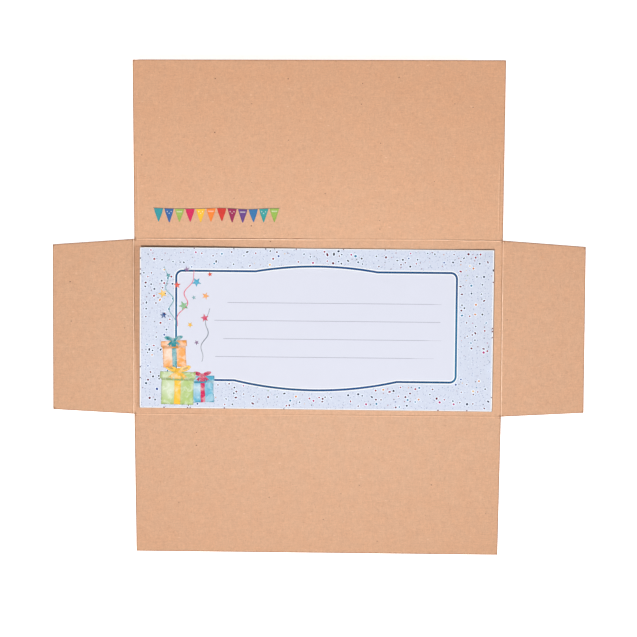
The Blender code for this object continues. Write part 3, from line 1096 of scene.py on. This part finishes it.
# lit and shaded copies of one kraft: their painted_shade_sides paint the bottom and side flaps a little darker than the
# panel, and the panel and top flap lighter or darker from left to right, as the light falls
kraft_panel = kraft("kraft_panel", painted_shade_sides=((0.985, 0.975, 0.985), (1.022, 1.032, 1.045)))
kraft_top = kraft("kraft_top", printed=True, painted_shade_sides=((1.012, 1.020, 1.034), (0.990, 0.984, 0.984)))
kraft_bottom = kraft("kraft_bottom", painted_shade_sides=((0.965, 0.982, 1.008), (0.975, 0.992, 1.012)))
kraft_left = kraft("kraft_left", painted_shade_sides=((0.962, 0.975, 0.985), (0.962, 0.975, 0.985)))
kraft_right = kraft("kraft_right", painted_shade_sides=((0.968, 0.970, 0.982), (0.968, 0.970, 0.982)))
scored_board = kraft("scored_board", scored=True)
card_stock = printed_card("card_stock")

half_w, half_h = PANEL_W / 2, PANEL_H / 2
px, py = half_w - BORDER, half_h - BORDER

panel = slab(
    "back_panel_board", [(-px, -py), (px, -py), (px, py), (-px, py)], (0, 0, 0, 0), (False,) * 4,
    BOARD_WALL, Matrix.Scale(MM, 4), kraft_panel, warp=panel_warp, grid=4.0,
)
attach(panel, "back_panel")
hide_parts("back_panel")

def steps(*knots):
    """A number that runs smoothly through the knots (place along the fold in mm, value)."""

    def f(u):
        if u <= knots[0][0]:
            return knots[0][1]
        for (a, p), (b, q) in zip(knots, knots[1:]):
            if u <= b:
                return p + (q - p) * smooth((u - a) / (b - a))
        return knots[-1][1]

    return f


# how each fold is worn and painted along its length (u, in the flap's own frame): the dark lines beside its bead on the
# panel's side and on
# # the flap's side, partly crushed fibre and partly painted shade, its pale crest, partly wear and partly a painted
# highlight, the bead's height, and how far its line strays
FOLD_WEAR_AND_SHADE = {
    "top": {
        "wear_and_shade": (0.15, steps((-106, 0.1), (-101, 0.5), (-97, 1.1), (-84, 2.0), (-12, 1.7), (-2, 0.35), (18, 0.15), (24, 0.5), (68, 0.45), (72, 1.3), (77, 1.3), (79, 0.3), (84, 0.3), (88, 1.0), (106, 1.1))),
        "bright": steps((-106, 0.3), (-99, 1.1), (-84, 1.6), (-10, 1.5), (0, 0.5), (60, 0.5), (72, 1.2), (77, 1.2), (80, 0.4), (88, 0.9), (106, 0.8)),
        "relief": steps((-106, 0.9), (-96, 1.3), (-8, 1.3), (4, 0.7), (70, 0.7), (74, 1.3), (80, 0.7), (88, 1.2), (106, 1.3)),
        "stray": steps((-8, 0.0), (20, 0.12), (80, 0.12), (88, -0.26), (98, -0.20), (107, -0.30)),
    },
    "bottom": {
        "wear_and_shade": (steps((-106, 0.4), (-60, 0.42), (-45, 0.32), (-30, 0.44), (-10, 0.30), (8, 0.12), (20, 0.0), (50, 0.0), (64, 0.28), (72, 0.46), (86, 0.46), (96, 0.2)), 0.10),
        "bright": steps((-106, 0.2), (-60, 0.28), (-10, 0.22), (10, 0.15), (60, 0.1), (75, 0.3), (90, 0.4)),
        "relief": steps((-106, 0.6), (-60, 0.6), (-10, 0.5), (10, 0.32), (55, 0.28), (70, 0.5), (106, 0.5)),
        "stray": 0.0,
    },
    "left": {"wear_and_shade": (steps((-52, 0.3), (-20, 0.5), (0, 1.0), (44, 1.0), (52, 0.6)), 0.10), "bright": steps((-52, 1.3), (0, 1.8), (44, 1.9)), "relief": 1.1, "stray": 0.38},
    "right": {
        "wear_and_shade": (steps((-52, 0.5), (-30, 0.7), (-10, 1.1), (5, 0.8), (14, 0.55), (40, 0.5), (52, 0.4)), 0.12),
        "bright": steps((-52, 0.6), (-30, 1.0), (-14, 1.8), (36, 1.9), (52, 1.3)), "relief": 1.1, "stray": 0.0,
    },
}

# how much further the free edge reaches at the flap's own -x and +x side: the die cuts a hair out of square
OUT_OF_SQUARE = {"top_flap": (0.0, -0.15), "bottom_flap": (0.20, 0.08)}

# name, fold length, reach, taper at its own -x and +x side, axis height, fold's middle, turn, lift
FLAPS = (
    ("top_flap", PANEL_W, TOP_REACH, (0.0, 0.0), TOP_AXIS, (0.0, half_h), 0.0, TOP_LIFT),
    ("bottom_flap", PANEL_W, BOTTOM_REACH, (BOTTOM_TAPER, BOTTOM_TAPER), BOTTOM_AXIS, (0.0, -half_h), 180.0, 0.0),
    ("left_flap", PANEL_H, SIDE_REACH, (SIDE_LOWER - 0.25, SIDE_UPPER), SIDE_AXIS, (-half_w, 0.0), 90.0, 0.0),
    ("right_flap", PANEL_H, SIDE_REACH, (SIDE_UPPER, SIDE_LOWER), SIDE_AXIS, (half_w, 0.0), -90.0, 0.0),
)
FLAP_BOARD = {"top_flap": kraft_top, "bottom_flap": kraft_bottom, "left_flap": kraft_left, "right_flap": kraft_right}
for index, (body, length, reach, (low_taper, high_taper), axis, middle, turn, lift) in enumerate(FLAPS):
    half = length / 2
    share = BORDER / reach
    low_extra, high_extra = OUT_OF_SQUARE.get(body, (0.0, 0.0))
    outline = [
        (-half + low_taper * share, BORDER), (half - high_taper * share, BORDER),
        (half - high_taper, reach + high_extra), (-half + low_taper, reach + low_extra),
    ]
    top = body == "top_flap"
    piece = slab(
        body + "_board", outline, (0, 0, CORNER_R, CORNER_R), (False, True, True, True), BOARD_WALL,
        fold_frame(middle, turn, axis, lift), FLAP_BOARD[body], warp=pressed if top else flap_warp(11.0 + 5 * index, reach),
        areas=flap_print() if top else (), grid=3.0 if top else 4.0,
    )
    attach(piece, body)
    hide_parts(body)

    def ends(s, half=half, low=low_taper, high=high_taper, reach=reach):
        if s < 0:
            return -half - s, half + s
        return -half + low * s / reach, half - high * s / reach

    name = body.replace("_flap", "")
    strip = crease(name + "_crease", length, middle, turn, axis, ends, scored_board, 50 + index, lift=lift, **FOLD_WEAR_AND_SHADE[name])
    if body in ("bottom_flap", "right_flap"):
        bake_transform(strip)
    else:
        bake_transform(strip)
    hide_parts(name + "_score_line")

card = slab(
    "writing_card_sheet",
    [(-CARD_W / 2, -CARD_H / 2), (CARD_W / 2, -CARD_H / 2), (CARD_W / 2, CARD_H / 2), (-CARD_W / 2, CARD_H / 2)],
    (0.15,) * 4, (True,) * 4, CARD_WALL,
    Matrix.Translation((CARD_AT[0] * MM, CARD_AT[1] * MM, 0.8 * MM)) @ Matrix.Rotation(math.radians(CARD_TURN), 4, "Z") @ Matrix.Scale(MM, 4),
    card_stock, warp=card_warp, areas=card_print(), blank=PAPER, grid=3.0, card=True,
)
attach(card, "writing_card")
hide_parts("writing_card")

# ------------------------------------------------------------------ floor, light and camera

def sweep():
    """A round white studio sweep: a flat floor that curves up into a low wall on every side."""
    section = [(0.0, 0.0), (0.4, 0.0), (1.5, 0.0), (5.8, 0.0)]
    section += [(5.8 + 1.0 * math.sin(a), 1.0 - 1.0 * math.cos(a)) for a in [math.pi / 2 * k / 12 for k in range(1, 13)]]
    section += [(6.8, 1.6), (6.8, 2.2)]
    around = 96
    verts = [(0.0, 0.0, -0.00006)]
    for r, z in section[1:]:
        verts += [(r * math.cos(2 * math.pi * k / around), r * math.sin(2 * math.pi * k / around), z - 0.00006) for k in range(around)]
    faces = [(0, 1 + k, 1 + (k + 1) % around) for k in range(around)]
    for j in range(len(section) - 2):
        a, b = 1 + j * around, 1 + (j + 1) * around
        faces += [(a + k, b + k, b + (k + 1) % around, a + (k + 1) % around) for k in range(around)]
    mesh = bpy.data.meshes.new("floor")
    mesh.from_pydata(verts, [], faces)
    mesh.polygons.foreach_set("use_smooth", [True] * len(mesh.polygons))
    ob = bpy.data.objects.new("floor", mesh)
    bpy.context.scene.collection.objects.link(ob)
    return ob


floor = sweep()
fn = Nodes("floor_white")
fn.shader.inputs["Base Color"].default_value = (0.86, 0.86, 0.86, 1.0)
floor_at = fn.add("ShaderNodeTexCoord").outputs["Object"]
fn.put(fn.span(fn.noise(floor_at, 6.0, 2.0), 0.3, 0.7, 0.85, 0.95), fn.shader.inputs["Roughness"])
fn.shader.inputs["Specular IOR Level"].default_value = 0.1
fn.shader.inputs["Emission Color"].default_value = (1.0, 1.0, 1.0, 1.0)
fn.shader.inputs["Emission Strength"].default_value = 0.82
floor.data.materials.append(fn.mat)

world = bpy.data.worlds.new("studio")
world.use_nodes = True
world.node_tree.nodes["Background"].inputs["Color"].default_value = (1.0, 1.0, 1.0, 1.0)
world.node_tree.nodes["Background"].inputs["Strength"].default_value = 0.03
bpy.context.scene.world = world


def lamp(name, kind, at, aim, power, colour=(1.0, 1.0, 1.0), size=0.3, cone=None):
    data = bpy.data.lights.new(name, kind)
    if kind == "AREA":
        data.shape = "SQUARE"
        data.size = size
    else:
        data.shadow_soft_size = size
        data.spot_size = math.radians(cone)
        data.spot_blend = 1.0
    data.energy = power
    data.color = colour
    light = bpy.data.objects.new(name, data)
    light.location = at
    light.rotation_euler = (Vector(aim) - Vector(at)).to_track_quat("-Z", "Y").to_euler()
    light.visible_camera = False
    bpy.context.scene.collection.objects.link(light)


lamp("front_key", "SPOT", (-1.45, -2.85, 3.15), (0.01, 0.02, 0.0), 905.0, colour=(1.0, 0.949, 0.899), size=0.34, cone=22.0)
lamp("right_low", "AREA", (4.2, -0.8, 1.22), (0.0, 0.0, 0.0), 218.0, colour=(0.781, 0.900, 1.0), size=0.5)

camera_data = bpy.data.cameras.new("camera")
camera_data.lens = 70.92
camera_data.sensor_width = 36.0
camera_data.clip_start = 0.01
camera_data.clip_end = 30.0
camera = bpy.data.objects.new("camera", camera_data)
camera.location = (0.018233, 0.036953, 0.749977)
camera.rotation_euler = (-0.04173425, 0.02378806, 0.00524672)
bpy.context.scene.collection.objects.link(camera)
bpy.context.scene.camera = camera
bpy.context.scene.view_settings.view_transform = "Standard"
